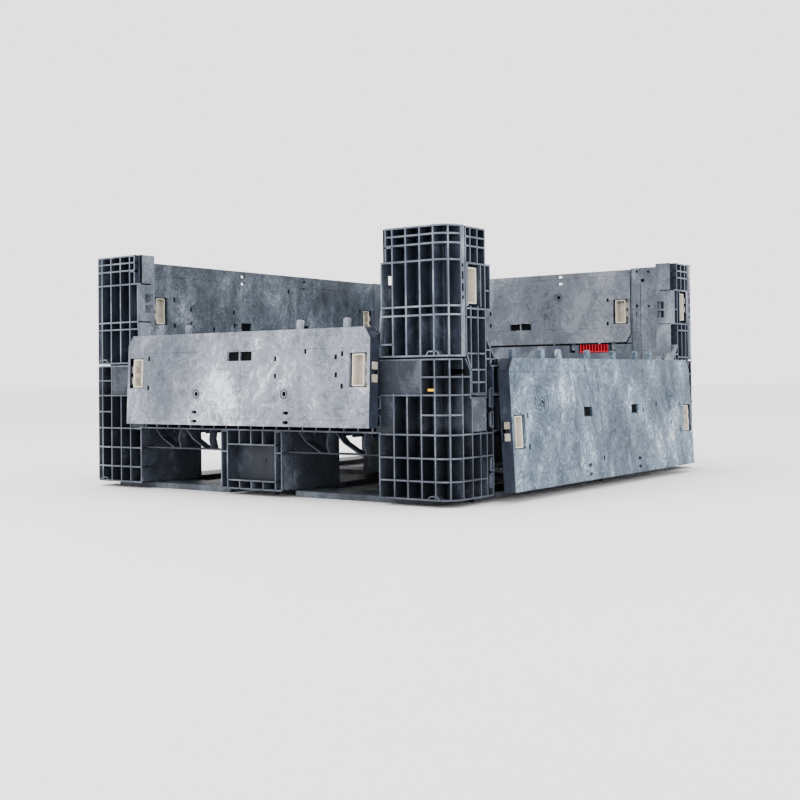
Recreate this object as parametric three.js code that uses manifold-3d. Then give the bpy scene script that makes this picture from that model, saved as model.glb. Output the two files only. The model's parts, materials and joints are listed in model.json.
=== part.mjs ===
// A folding-wall bulk container in structural-foam plastic: a four-way pallet base, four walls that are
// each a frame of two deep-ribbed end columns and a sill, and a drop door hung from every sill.
// Millimetres, +Z up. The origin is the centre of the footprint on the ground. The long side walls are
// called left and right (x = -/+), the end walls front and rear (y = -/+). The front and right doors hang
// open outside their walls; the left and rear doors are closed.

import * as THREE from "three";
import { mergeVertices } from "three/addons/utils/BufferGeometryUtils.js";
import Module from "manifold-3d";

const wasm = await Module();
wasm.setup();

// ---- driving dimensions -------------------------------------------------------------------------
const width = 1219;            // along x, over the left and right walls (48 in)
const length = 1412;           // along y, over the front and rear walls
const height = 639;            // ground to the top of the columns
const halfWidth = width / 2;
const halfLength = length / 2;
const wallThickness = 60;
const cornerRadius = 46;       // rounded vertical corners of the base and the end walls
const cellDepth = 44;           // depth of the open rib cells
const rib = 4;                 // thickness of a moulded rib
const gap = 0.5;               // running gap between pieces that touch

const runnerHeight = 15;       // ground boards under the blocks
const deckUnderside = 165;     // ceiling of the fork pockets
const floorTop = 177;
const endRim = 336.5;          // top of the base under the front and rear walls
const sideRim = 248;           // top of the base under the left and right walls
const endWallBottom = 340;
const sideWallBottom = 252;

const endJamb = 415;           // |x| of the door opening in the front and rear walls
const sideJamb = 536;          // |y| of the door opening in the left and right walls
const endSillTop = 398.5;
const sideSillTop = 321;
const doorTop = 636;
const sideColumnEnd = 643;     // |y| where the left and right walls stop against the end walls

const endDoor = { half: 412.5, inner: halfLength - 60, outer: halfLength - 25, bottom: 399.5 };
const sideDoor = { half: 533, inner: halfWidth - 59, outer: halfWidth - 28, bottom: 322.5 };
const endHinge = { out: 694, z: 406, open: 177.5 };
const sideHinge = { out: 602, z: 329, open: 177.2 };
const foldHinge = { out: 556, z: 258 };
const rodRadius = 5;
const holeRadius = 5.8;

const latchTravel = 9;

// Rib lines shared by the columns and the base: |x| on the end faces, |y| on the side faces.
const endRibs = [448.8, 487, 525.5, halfWidth - cornerRadius];
const sideRibs = [559.5, 591.5, 622];
const pocketEdge = 404.6;      // |x| of the corner blocks' inner faces
const centreBlock = 104.8;     // |x| of the centre blocks' faces
const sidePocketEdge = 480;    // |y| of the corner blocks' inner faces
const sideCentre = 110;        // |y| of the centre blocks' faces

const endLevels = [341.7, 454.6, 559, 638];
const sideLevels = [253.9, 347.4, 450, 554.4, 638];
const blockLevels = [16, 109.6, 163];

// ---- solids -------------------------------------------------------------------------------------
function toSolid(geometry) {
  const bare = geometry.clone();
  bare.deleteAttribute("normal");
  bare.deleteAttribute("uv");
  const merged = mergeVertices(bare, 1e-4);
  return new wasm.Manifold(new wasm.Mesh({
    numProp: 3,
    vertProperties: new Float32Array(merged.attributes.position.array),
    triVerts: new Uint32Array(merged.index.array),
  }));
}

function toGeometry(solid) {
  const made = solid.getMesh();
  const geometry = new THREE.BufferGeometry();
  geometry.setAttribute("position", new THREE.BufferAttribute(made.vertProperties, 3));
  geometry.setIndex(new THREE.BufferAttribute(made.triVerts, 1));
  geometry.computeVertexNormals();
  return geometry;
}

function block(xs, ys, zs) {
  const [x0, x1] = [Math.min(...xs), Math.max(...xs)];
  const [y0, y1] = [Math.min(...ys), Math.max(...ys)];
  const [z0, z1] = [Math.min(...zs), Math.max(...zs)];
  const geometry = new THREE.BoxGeometry(x1 - x0, y1 - y0, z1 - z0);
  geometry.translate((x0 + x1) / 2, (y0 + y1) / 2, (z0 + z1) / 2);
  return toSolid(geometry);
}

// An outline extruded along one axis: "z" takes (x, y) points, "y" takes (x, z), "x" takes (y, z).
function prism(points, axis, from, to) {
  const shape = new THREE.Shape(points.map(([a, b]) => new THREE.Vector2(a, b)));
  const geometry = new THREE.ExtrudeGeometry(shape, { depth: to - from, bevelEnabled: false });
  geometry.translate(0, 0, from);
  if (axis === "y") {
    geometry.applyMatrix4(new THREE.Matrix4().set(1, 0, 0, 0, 0, 0, 1, 0, 0, 1, 0, 0, 0, 0, 0, 1));
    flipFaces(geometry);
  }
  if (axis === "x") {
    geometry.applyMatrix4(new THREE.Matrix4().set(0, 0, 1, 0, 1, 0, 0, 0, 0, 1, 0, 0, 0, 0, 0, 1));
  }
  return toSolid(geometry);
}

// Swapping two axes mirrors a geometry, so its triangles are turned to face out again.
function flipFaces(geometry) {
  const plain = geometry.attributes.position.array;
  for (let i = 0; i < plain.length; i += 9) {
    for (let k = 0; k < 3; k += 1) {
      const held = plain[i + 3 + k];
      plain[i + 3 + k] = plain[i + 6 + k];
      plain[i + 6 + k] = held;
    }
  }
}

// An eight-sided round bar along "x" or "y".
function bar(axis, radius, from, to, across, z) {
  const geometry = new THREE.CylinderGeometry(radius, radius, to - from, 8);
  if (axis === "x") {
    geometry.rotateZ(Math.PI / 2);
    geometry.translate((from + to) / 2, across, z);
  } else {
    geometry.translate(across, (from + to) / 2, z);
  }
  return toSolid(geometry);
}

function join(pieces) {
  return pieces.reduce((whole, piece) => whole.add(piece));
}

function cut(body, tools) {
  return tools.length ? body.subtract(join(tools)) : body;
}

// Calls make(+1) and make(-1) and gathers what they return.
function bothSides(make) {
  return [1, -1].flatMap((side) => make(side));
}

// Neighbouring pairs of a list of rib lines, each drawn in by half a rib.
function cells(lines) {
  return lines.slice(1).map((line, i) => [lines[i] + rib / 2, line - rib / 2]);
}

// Plan outline of the corner at (+x, -y): a quarter circle from the end face round to the side face.
function cornerArc(radius, fromAngle, toAngle, steps) {
  const centre = [halfWidth - cornerRadius, -(halfLength - cornerRadius)];
  return Array.from({ length: steps + 1 }, (_, i) => {
    const angle = THREE.MathUtils.degToRad(fromAngle + ((toAngle - fromAngle) * i) / steps);
    return [centre[0] + radius * Math.cos(angle), centre[1] + radius * Math.sin(angle)];
  });
}

function mirrorX(points, side) {
  const placed = points.map(([a, b]) => [a * side, b]);
  return side > 0 ? placed : placed.reverse();
}

// The two rib cells inside a rounded corner, on either side of its middle rib.
function cornerCells(side, low, high) {
  return [[-86, -49], [-41, -4]].map(([from, to]) => {
    const outline = [
      ...cornerArc(cornerRadius + 3, from, to, 2),
      ...cornerArc(10, to, from, 1),
    ];
    return prism(mirrorX(outline, side), "z", low, high);
  });
}

// ---- end walls (front and rear) -----------------------------------------------------------------
const endTabs = [200, 346];
const endLatchLevels = [[482, 500], [511, 530]];
const cornerLatchLevels = [[488, 506], [515, 533]];

function endWallFrame() {
  const face = -halfLength;
  const inner = face + wallThickness;
  const column = (side) => {
    const outline = [
      [endJamb, face],
      ...cornerArc(cornerRadius, -90, 0, 4),
      [halfWidth, inner],
      [endJamb, inner],
    ];
    return prism(mirrorX(outline, side), "z", endWallBottom, height);
  };
  const chamfer = (side) => prism(
    mirrorX([[endJamb + 1, 427], [398, endSillTop - 1], [endJamb + 1, endSillTop - 1]], side).reverse(),
    "y", face + 25, inner);
  const lugs = [0, 250, 380].flatMap((x) => bothSides((side) =>
    block([side * x - 9, side * x + 9], [face + 4, face + 21], [endSillTop - 1, endHinge.z + 8])));
  const body = join([
    ...bothSides(column),
    ...bothSides(chamfer),
    block([-endJamb - 1, endJamb + 1], [face, inner], [endWallBottom, endSillTop]),
    ...lugs,
  ]);

  const tools = [];
  for (const side of [1, -1]) {
    for (const [low, high] of cells(endLevels)) {
      for (const [from, to] of cells(endRibs)) {
        tools.push(block([side * from, side * to], [face - 1, face + cellDepth], [low, high]));
      }
      tools.push(...cornerCells(side, low, high));
    }
    // The flange beside the opening: a latch box in the middle, and a set-back strip above it.
    tools.push(block([side * 421, side * 446.8], [face - 1, face + cellDepth], [456.6, 553]));
    tools.push(block([side * (endJamb - 1), side * 428], [face - 1, face + 11], [557, height + 1]));
    tools.push(block([side * 430, side * 446.8], [face - 1, face + cellDepth], [561, 636]));
    tools.push(block([side * 421, side * 446.8], [face - 1, face + cellDepth], [343.7, 449]));
    // Slots for the bolts of the door latches, and for those of the side walls' corner latches.
    for (const [low, high] of endLatchLevels) {
      tools.push(block([side * (endJamb - 1), side * 432], [face + 26, face + 55], [low - 2, high + 2]));
    }
    for (const [low, high] of cornerLatchLevels) {
      tools.push(block([side * 581, side * 607], [inner - 18, inner + 1], [low - 2, high + 2]));
      tools.push(block([side * 600, side * 611], [inner - 15, inner - 6], [low - 1, high + 1]));
    }
    for (const z of [474, 547]) {
      tools.push(block([side * 605, side * 611], [inner - 15, inner - 7], [z - 4, z + 4]));
    }
    for (const tab of endTabs) {
      tools.push(block([side * tab - 13, side * tab + 13], [inner - 28, inner + 1], [370, 400]));
    }
  }
  const sillRibs = [-410, -205, 0, 205, 410];
  for (const [from, to] of cells(sillRibs)) {
    tools.push(block([from, to], [face - 1, face + 28], [344, 392]));
  }
  tools.push(block([-332, -223], [inner - 16, inner + 1], [368, 400]));
  tools.push(bar("x", holeRadius, -halfWidth, halfWidth, inner - 6, 338.3));
  tools.push(bar("x", holeRadius, -400, 400, -endHinge.out, endHinge.z));
  return cut(body, tools);
}

function endDropDoor() {
  const { half, inner, outer, bottom } = endDoor;
  const panel = prism([
    [-half, 427], [-half + 17, bottom], [half - 17, bottom], [half, 427], [half, doorTop], [-half, doorTop],
  ].reverse(), "y", -outer, -inner);
  const tabs = endTabs.flatMap((tab) => bothSides((side) =>
    block([side * tab - 10, side * tab + 10], [-inner - 23, -inner - 11], [375, bottom + 5])));
  const knuckles = [130, 300].flatMap((x) => bothSides((side) => [
    bar("x", 7, side * x - 20, side * x + 20, -endHinge.out, endHinge.z),
    block([side * x - 20, side * x + 20], [-endHinge.out, -outer + 1], [endHinge.z - 6, endHinge.z + 6]),
  ]));
  const body = join([panel, ...tabs, ...knuckles]);

  const tools = [bar("x", holeRadius, -400, 400, -endHinge.out, endHinge.z)];
  // Rib cells on the outside, and a pair of blind hand windows inside.
  const columns = [-340, -170, 0, 170, 340];
  for (const [low, high] of cells([418, 526, 634])) {
    for (const [from, to] of cells(columns)) {
      tools.push(block([from, to], [-outer - 1, -outer + 12], [low, high]));
    }
  }
  for (const side of [1, -1]) {
    tools.push(block([side * 1.5, side * 42], [-inner - 18, -inner + 1], [451, 474]));
    tools.push(block([side * 350, side * 403], [-inner - 27, -inner + 1], [461, 541]));
    for (const [low, high] of endLatchLevels) {
      tools.push(block([side * 350, side * (half + 1)], [-inner - 32, -inner - 7], [low - 1, high + 1]));
    }
    for (const z of [603, 626]) {
      tools.push(block([side * 151, side * 165], [-outer - 1, -inner + 1], [z - 4, z + 4]));
    }
  }
  return cut(body, tools);
}

// A slide latch: a plate with a finger pull and two square bolts. It is drawn for the +x end of the door.
function endDoorLatch() {
  const { half, inner } = endDoor;
  const plate = block([357, 393], [-inner - 26, -inner - 3], [463, 539]);
  const bolts = endLatchLevels.map(([low, high]) =>
    block([380, half - 0.5], [-inner - 31, -inner - 8], [low, high]));
  const pull = block([363, 387], [-inner - 20, -inner + 1], [470, 532]);
  return cut(join([plate, ...bolts]), [pull]);
}

// A comb-shaped clip that keeps the door's rod in the sill.
function hingeClip(from) {
  const inner = -(halfLength - wallThickness);
  const plate = block([from, from + 51], [inner - 15, inner - 1], [369, 386]);
  const teeth = Array.from({ length: 5 }, (_, i) =>
    block([from + 1 + 10.5 * i, from + 8 + 10.5 * i], [inner - 12, inner - 2], [385, 397.5]));
  return join([plate, ...teeth]);
}

// ---- side walls (left and right) ----------------------------------------------------------------
const sideTabs = [76, 225, 316, 458];
const sideLatchLevels = [[472, 489], [499, 517]];

function sideWallFrame() {
  const face = halfWidth;
  const inner = face - wallThickness;
  const column = (side) => prism(mirrorX([
    [sideJamb - 1, sideWallBottom], [624, sideWallBottom], [624, 310], [sideColumnEnd, 346],
    [sideColumnEnd, height], [sideJamb, height], [sideJamb, 352], [516, sideSillTop - 1],
  ], side), "x", inner, face);
  const lugs = [0, 260, 500].flatMap((y) => bothSides((side) =>
    block([face - 16, face - 0.5], [side * y - 9, side * y + 9], [sideSillTop - 1, sideHinge.z + 7])));
  const body = join([
    ...bothSides(column),
    block([inner, face], [-sideJamb, sideJamb], [sideWallBottom, sideSillTop]),
    ...lugs,
  ]);

  const tools = [];
  for (const side of [1, -1]) {
    const columns = cells([...sideRibs, sideColumnEnd]);
    for (const [low, high] of cells(sideLevels)) {
      for (const [from, to] of columns) {
        const outerColumn = from > sideRibs[2];
        const latchRow = low > 450 && high < 555;
        if (latchRow || (outerColumn && low < 347)) {
          continue;
        }
        tools.push(block([face - cellDepth, face + 1], [side * from, side * to], [low, high]));
      }
    }
    tools.push(block([face - 34, face + 1], [side * 578, side * 640], [456, 553]));
    for (const [low, high] of cornerLatchLevels) {
      tools.push(block([face - 28, face - 3], [side * 600, side * 644], [low - 1, high + 1]));
    }
    // The flange beside the opening, set back except at the latch box.
    for (const [low, high] of [[400, 450], [555, height + 1]]) {
      tools.push(block([face - 13, face + 1], [side * (sideJamb - 1), side * 557.5], [low, high]));
    }
    for (const [low, high] of [[402, 448], [454, 553], [557, 636]]) {
      tools.push(block([face - cellDepth, face + 1], [side * 540, side * 557.5], [low, high]));
    }
    for (const [low, high] of sideLatchLevels) {
      tools.push(block([inner + 4, inner + 25], [side * (sideJamb - 1), side * 548], [low - 2, high + 2]));
    }
    for (const tab of sideTabs) {
      tools.push(block([inner - 1, inner + 29], [side * tab - 13, side * tab + 13], [294, 322]));
    }
    // Room for the base's knuckles along the fold.
    for (const y of [120, 360, 560]) {
      tools.push(block([inner - 1, inner + 18], [side * y - 32, side * y + 32], [251, 269]));
    }
  }
  const sillRibs = [-528, -264, 0, 264, 528];
  for (const [from, to] of cells(sillRibs)) {
    tools.push(block([face - 28, face + 1], [from, to], [256, 316]));
  }
  tools.push(bar("y", holeRadius, -610, 610, foldHinge.out, foldHinge.z));
  tools.push(bar("y", holeRadius, -520, 520, sideHinge.out, sideHinge.z));
  return cut(body, tools);
}

function sideDropDoor() {
  const { half, inner, outer, bottom } = sideDoor;
  const panel = prism([
    [-half, 352], [-half + 19, bottom], [half - 19, bottom], [half, 352], [half, doorTop], [-half, doorTop],
  ], "x", inner, outer);
  const tabs = sideTabs.flatMap((tab) => bothSides((side) =>
    block([inner + 13, inner + 24], [side * tab - 12, side * tab + 12], [299, bottom + 5])));
  const knuckles = [130, 380].flatMap((y) => bothSides((side) => [
    bar("y", 7, side * y - 20, side * y + 20, sideHinge.out, sideHinge.z),
    block([outer - 1, sideHinge.out], [side * y - 20, side * y + 20], [sideHinge.z - 6, sideHinge.z + 6]),
  ]));
  const body = join([panel, ...tabs, ...knuckles]);

  const tools = [bar("y", holeRadius, -530, 530, sideHinge.out, sideHinge.z)];
  const columns = [-460, -230, 0, 230, 460];
  for (const [low, high] of cells([342, 488, 634])) {
    for (const [from, to] of cells(columns)) {
      tools.push(block([outer - 11, outer + 1], [from, to], [low, high]));
    }
  }
  for (const side of [1, -1]) {
    tools.push(block([inner - 1, inner + 15], [side * 115, side * 165], [448, 473]));
    tools.push(block([inner - 1, inner + 22], [side * 472, side * 522], [457, 537]));
    for (const [low, high] of sideLatchLevels) {
      tools.push(block([inner + 5, inner + 23], [side * 472, side * (half + 1)], [low - 1, high + 1]));
    }
    for (const z of [597, 620]) {
      tools.push(block([inner - 1, outer + 1], [side * 145, side * 159], [z - 4, z + 4]));
    }
  }
  return cut(body, tools);
}

function sideDoorLatch() {
  const { half, inner } = sideDoor;
  const plate = block([inner + 3, inner + 21], [480, 512], [459, 535]);
  const bolts = sideLatchLevels.map(([low, high]) =>
    block([inner + 6, inner + 22], [500, half - 0.5], [low, high]));
  const pull = block([inner - 1, inner + 15], [485, 507], [466, 528]);
  return cut(join([plate, ...bolts]), [pull]);
}

// The latch on a side wall's column that locks it to the end wall. It is drawn for the +y column.
function cornerLatch() {
  const face = halfWidth;
  const plate = block([face - 32, face - 8], [590, 630], [462, 546]);
  const bolts = cornerLatchLevels.map(([low, high]) =>
    block([face - 27, face - 5], [612, sideColumnEnd - 0.5], [low, high]));
  const pull = block([face - 26, face + 1], [595, 621], [470, 538]);
  return cut(join([plate, ...bolts]), [pull]);
}

// ---- base ---------------------------------------------------------------------------------------
function footprint(low, high) {
  const quarter = cornerArc(cornerRadius, -90, 0, 4);
  const outline = [
    ...quarter,
    ...quarter.map(([x, y]) => [x, -y]).reverse(),
    ...quarter.map(([x, y]) => [-x, -y]),
    ...quarter.map(([x, y]) => [-x, y]).reverse(),
  ];
  return prism(outline, "z", low, high);
}

// Everything at the (side, end) corner of the base that is cut away to leave its ribs.
function cornerBlockCells(side, end) {
  const face = end * halfLength;
  const tools = [];
  const endCell = (from, to, low, high) => tools.push(
    block([side * from, side * to], [face + end, face - end * cellDepth], [low, high]));
  const sideCell = (from, to, low, high) => tools.push(
    block([side * (halfWidth + 1), side * (halfWidth - cellDepth)], [end * from, end * to], [low, high]));
  const roundCells = (low, high) => {
    for (const cell of [[-86, -49], [-41, -4]]) {
      const outline = [
        ...cornerArc(cornerRadius + 3, cell[0], cell[1], 2),
        ...cornerArc(10, cell[1], cell[0], 1),
      ].map(([x, y]) => [x * side, y * -end]);
      tools.push(prism(side * end < 0 ? outline : outline.reverse(), "z", low, high));
    }
  };
  for (const [low, high] of cells(blockLevels)) {
    cells([pocketEdge, ...endRibs]).forEach(([from, to]) => endCell(from, to, low, high));
    cells([532, ...sideRibs]).forEach(([from, to]) => sideCell(from, to, low, high));
    roundCells(low, high);
  }
  cells(endRibs).forEach(([from, to]) => endCell(from, to, deckUnderside + 2, 254));
  endCell(527.5, 561.5, 258, 333);
  for (const [low, high] of [[deckUnderside + 2, 254], [258, 333]]) {
    roundCells(low, high);
  }
  return tools;
}

function palletBase() {
  const inEnd = halfLength - wallThickness;
  const inSide = halfWidth - wallThickness;
  const xBands = [[-halfWidth, -pocketEdge], [-centreBlock, centreBlock], [pocketEdge, halfWidth]];
  const yBands = [[-halfLength, -sidePocketEdge], [-sideCentre, sideCentre], [sidePocketEdge, halfLength]];
  const blocks = xBands.flatMap((xs) => yBands.map((ys) => block(xs, ys, [runnerHeight, deckUnderside + 1])));
  const outside = footprint(runnerHeight, endRim);
  const feet = join(blocks).intersect(outside);
  const tray = cut(footprint(deckUnderside, endRim), [
    block([-inSide, inSide], [-inEnd, inEnd], [floorTop, endRim + 1]),
    block([-halfWidth - 1, halfWidth + 1], [-626, 626], [sideRim, endRim + 1]),
    ...bothSides((end) => prism(
      mirrorX([[625, 309], [628, 309], [inEnd - 1, endRim + 1], [625, endRim + 1]], end), "x", -700, 700)),
  ]);
  const knuckles = [120, 360, 560].flatMap((y) => bothSides((end) => bothSides((side) =>
    block([side * (inSide + 0.5), side * (inSide + 13)], [end * y - 30, end * y + 30], [sideRim - 1, 265]))));
  // The web above each end fork opening: a lower rail hung from the deck by two braces and two posts.
  const webs = bothSides((end) => bothSides((side) => {
    const depth = [end * (halfLength - 12), end * (halfLength - 40)];
    const brace = (x) => prism([[x, 166], [x + 66, 112], [x + 72, 112], [x + 6, 166]].reverse(),
      "y", Math.min(...depth), Math.max(...depth));
    const from = Math.min(side * centreBlock, side * pocketEdge);
    return [
      block([side * (centreBlock - 1), side * (pocketEdge + 1)], depth, [110.5, 114]),
      brace(from + 46),
      brace(from + 160),
      block([from + 134, from + 138], depth, [112, 166]),
      block([from + 248, from + 252], depth, [112, 166]),
    ];
  }));
  const body = join([feet, tray, ...knuckles, ...webs]);

  const tools = [];
  for (const side of [1, -1]) {
    for (const end of [1, -1]) {
      tools.push(...cornerBlockCells(side, end));
    }
    tools.push(bar("y", holeRadius, -610, 610, side * foldHinge.out, foldHinge.z));
    tools.push(bar("x", holeRadius, -halfWidth, halfWidth, side * (inEnd + 6), 338.3));
    // Centre blocks: a recessed panel with small cells above and below it.
    tools.push(block([-78, 78], [side * (halfLength + 1), side * (halfLength - 34)], [43, 127]));
    for (const [from, to] of cells([-82, -41, 0, 41, 82])) {
      tools.push(block([from, to], [side * (halfLength + 1), side * (halfLength - 40)], [131, 159]));
      tools.push(block([from, to], [side * (halfLength + 1), side * (halfLength - 40)], [18, 35]));
    }
    for (const [low, high] of cells(blockLevels)) {
      for (const [from, to] of cells([-110, 0, 110])) {
        tools.push(block([side * (halfWidth + 1), side * (halfWidth - 40)], [from, to], [low, high]));
      }
    }
    // The wall of the base between its corners, ribbed outside.
    for (const [from, to] of cells([-400, -200, 0, 200, 400])) {
      tools.push(block([from, to], [side * (halfLength + 1), side * (halfLength - 40)], [170, 332]));
    }
    for (const [from, to] of cells([-500, -250, 0, 250, 500])) {
      tools.push(block([side * (halfWidth + 1), side * (halfWidth - 40)], [from, to], [170, 243]));
    }
  }
  return cut(body, tools);
}

// Flat boards under the blocks that close the bottom of the fork openings.
const runnerTop = runnerHeight - 0.4;
const runnerInset = 42;

function endRunner() {
  const y = -(halfLength - runnerInset);
  return block([112, 540], [y, y + 110], [0, runnerTop]);
}

function sideRunner() {
  const x = halfWidth - runnerInset;
  return block([x - 110, x], [112, halfLength - runnerInset - 112], [0, runnerTop]);
}

function centreRunner() {
  return join([
    block([-55, 55], [-500, 500], [0, runnerTop]),
    block([-450, 450], [-55, 55], [0, runnerTop]),
  ]);
}

// ---- finishes -----------------------------------------------------------------------------------
function finish(color, roughness, metalness = 0) {
  return new THREE.MeshStandardMaterial({ color, roughness, metalness });
}

const frameGrey = finish(0x4b5360, 0.5);
const panelGrey = finish(0x7d8590, 0.5);
const baseGrey = finish(0x424a56, 0.52);
const runnerGrey = finish(0x3a4049, 0.6);
const latchBeige = finish(0xd2c9ba, 0.45);
const clipRed = finish(0xc81f24, 0.4);
const tagYellow = finish(0xe2c144, 0.45);
const rodSteel = finish(0x8f9296, 0.35, 1);

// ---- assembly -----------------------------------------------------------------------------------
const container = new THREE.Group();

function place(name, shape, material, turn = 0) {
  const mesh = new THREE.Mesh(shape, material);
  mesh.name = name;
  mesh.rotation.z = turn;
  container.add(mesh);
  return mesh;
}

// A group whose children swing by the given degrees about a rod along "x" or "y".
function swung(axis, hingePoint, degrees) {
  const pivot = new THREE.Group();
  pivot.position.copy(hingePoint);
  pivot.rotation[axis] = THREE.MathUtils.degToRad(degrees);
  container.add(pivot);
  const holder = new THREE.Group();
  holder.position.copy(hingePoint).negate();
  pivot.add(holder);
  return holder;
}

place("pallet_base", toGeometry(palletBase()), baseGrey);
place("runner_centre", toGeometry(centreRunner()), runnerGrey);

const runnerOnEnd = toGeometry(endRunner());
const runnerOnSide = toGeometry(sideRunner());
const endShift = 112 + 540;
const sideShift = halfLength - runnerInset;
place("runner_front_right", runnerOnEnd, runnerGrey);
place("runner_front_left", runnerOnEnd, runnerGrey).position.x = -endShift;
place("runner_rear_left", runnerOnEnd, runnerGrey, Math.PI);
place("runner_rear_right", runnerOnEnd, runnerGrey, Math.PI).position.x = endShift;
place("runner_right_rear", runnerOnSide, runnerGrey);
place("runner_right_front", runnerOnSide, runnerGrey).position.y = -sideShift;
place("runner_left_front", runnerOnSide, runnerGrey, Math.PI);
place("runner_left_rear", runnerOnSide, runnerGrey, Math.PI).position.y = sideShift;

// The end walls are one shape used twice, the rear one turned half round; so are the side walls.
const endFrame = toGeometry(endWallFrame());
const endPanel = toGeometry(endDropDoor());
const sideFrame = toGeometry(sideWallFrame());
const sidePanel = toGeometry(sideDropDoor());
place("front_wall_frame", endFrame, frameGrey);
place("rear_wall_frame", endFrame, frameGrey, Math.PI);
place("right_wall_frame", sideFrame, frameGrey);
place("left_wall_frame", sideFrame, frameGrey, Math.PI);
place("rear_drop_door", endPanel, panelGrey, Math.PI);
place("left_drop_door", sidePanel, panelGrey, Math.PI);

const frontSwing = swung("x", new THREE.Vector3(0, -endHinge.out, endHinge.z), endHinge.open);
const rightSwing = swung("y", new THREE.Vector3(sideHinge.out, 0, sideHinge.z), sideHinge.open);
frontSwing.add(place("front_drop_door", endPanel, panelGrey));
rightSwing.add(place("right_drop_door", sidePanel, panelGrey));

// Door latches: each shape is drawn for one end, and mirrored for the other.
function mirrored(geometry, axis) {
  const copy = geometry.toNonIndexed();
  copy.scale(axis === "x" ? -1 : 1, axis === "y" ? -1 : 1, 1);
  flipFaces(copy);
  return mergeVertices(copy, 1e-4);
}

const endLatch = toGeometry(endDoorLatch());
const endLatchMirrored = mirrored(endLatch, "x");
frontSwing.add(place("front_door_latch_right", endLatch, latchBeige));
frontSwing.add(place("front_door_latch_left", endLatchMirrored, latchBeige));
place("rear_door_latch_left", endLatch, latchBeige, Math.PI);
place("rear_door_latch_right", endLatchMirrored, latchBeige, Math.PI);

const sideLatch = toGeometry(sideDoorLatch());
const sideLatchMirrored = mirrored(sideLatch, "y");
rightSwing.add(place("right_door_latch_rear", sideLatch, latchBeige));
rightSwing.add(place("right_door_latch_front", sideLatchMirrored, latchBeige));
place("left_door_latch_front", sideLatch, latchBeige, Math.PI);
place("left_door_latch_rear", sideLatchMirrored, latchBeige, Math.PI);

const wallLatch = toGeometry(cornerLatch());
const wallLatchMirrored = mirrored(wallLatch, "y");
place("right_wall_latch_rear", wallLatch, latchBeige);
place("right_wall_latch_front", wallLatchMirrored, latchBeige);
place("left_wall_latch_front", wallLatch, latchBeige, Math.PI);
place("left_wall_latch_rear", wallLatchMirrored, latchBeige, Math.PI);

// Steel rods: one per door along its sill, one per wall along its joint with the base.
const endDoorRod = toGeometry(bar("x", rodRadius, -392, 392, -endHinge.out, endHinge.z));
const endWallRod = toGeometry(bar("x", rodRadius, -560, 560, -(halfLength - wallThickness) - 6, 338.3));
const sideDoorRod = toGeometry(bar("y", rodRadius, -512, 512, sideHinge.out, sideHinge.z));
const sideWallRod = toGeometry(bar("y", rodRadius, -600, 600, foldHinge.out, foldHinge.z));
for (const [name, turn] of [["front", 0], ["rear", Math.PI]]) {
  place(name + "_door_rod", endDoorRod, rodSteel, turn);
  place(name + "_wall_rod", endWallRod, rodSteel, turn);
}
for (const [name, turn] of [["right", 0], ["left", Math.PI]]) {
  place(name + "_door_rod", sideDoorRod, rodSteel, turn);
  place(name + "_wall_rod", sideWallRod, rodSteel, turn);
}

const clipOne = toGeometry(hingeClip(-330.5));
const clipTwo = toGeometry(hingeClip(-276.5));
for (const [name, turn] of [["front", 0], ["rear", Math.PI]]) {
  place(name + "_hinge_clip_outer", clipOne, clipRed, turn);
  place(name + "_hinge_clip_inner", clipTwo, clipRed, turn);
}

// A small plastic marker clipped in a corner cell of the base.
const marker = toGeometry(block([542, 561], [-halfLength + 4, -halfLength + 12], [262, 271]));
place("corner_marker", marker, tagYellow);

export default container;
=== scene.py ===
"""Looks of a folding-wall bulk container: ribbed foam-plastic walls and base, drop doors and slide latches.

Shapes are in millimetres in the row frame, with the doors drawn closed, and are placed with matrices.
The end walls face -Y and +Y; the side walls face +X and -X.
"""

import json
import math

import bpy
from mathutils import Matrix, Vector


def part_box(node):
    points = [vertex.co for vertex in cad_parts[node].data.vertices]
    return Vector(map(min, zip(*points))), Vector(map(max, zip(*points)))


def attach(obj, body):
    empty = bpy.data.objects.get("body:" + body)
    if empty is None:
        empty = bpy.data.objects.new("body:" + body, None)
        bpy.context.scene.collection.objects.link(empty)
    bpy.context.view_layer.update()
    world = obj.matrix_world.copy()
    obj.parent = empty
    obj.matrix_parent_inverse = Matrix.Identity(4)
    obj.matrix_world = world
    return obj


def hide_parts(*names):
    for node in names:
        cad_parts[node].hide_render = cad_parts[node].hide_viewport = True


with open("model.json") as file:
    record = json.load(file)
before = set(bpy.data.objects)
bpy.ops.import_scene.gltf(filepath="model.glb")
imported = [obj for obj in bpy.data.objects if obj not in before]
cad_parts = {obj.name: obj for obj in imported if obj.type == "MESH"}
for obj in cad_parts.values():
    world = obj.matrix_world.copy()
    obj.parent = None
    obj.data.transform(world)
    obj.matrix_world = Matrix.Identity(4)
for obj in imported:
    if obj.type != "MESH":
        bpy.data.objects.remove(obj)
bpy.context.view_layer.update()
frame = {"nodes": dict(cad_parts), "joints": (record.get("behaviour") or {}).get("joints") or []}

# ---- sizes, in millimetres ------------------------------------------------------------------
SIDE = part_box("pallet_base")[1].x * 1000
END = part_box("pallet_base")[1].y * 1000
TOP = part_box("front_wall_frame")[1].z * 1000
WALL = 60  # thickness of a wall
CORNER = 46  # radius of the upright corners
SIDE_IN = SIDE - WALL
END_IN = END - WALL
ARC_X = SIDE - CORNER
ARC_Y = END - CORNER
RIB = 4  # thickness of a rib
DECK = 165  # top of the fork openings
POCKET = 404.6  # far edge of the end fork openings, from the middle

# Heights of the bolts of the end doors, the side doors and the side walls.
END_BOLTS = [(482, 500), (511, 530)]
SIDE_BOLTS = [(472, 489), (499, 517)]
CORNER_BOLTS = [(488, 506), (515, 533)]

# Rounding of edges on walls, on doors and small parts, and on latches.
FINE, SOFT, ROUND = 0.7, 0.8, 1.6


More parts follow.
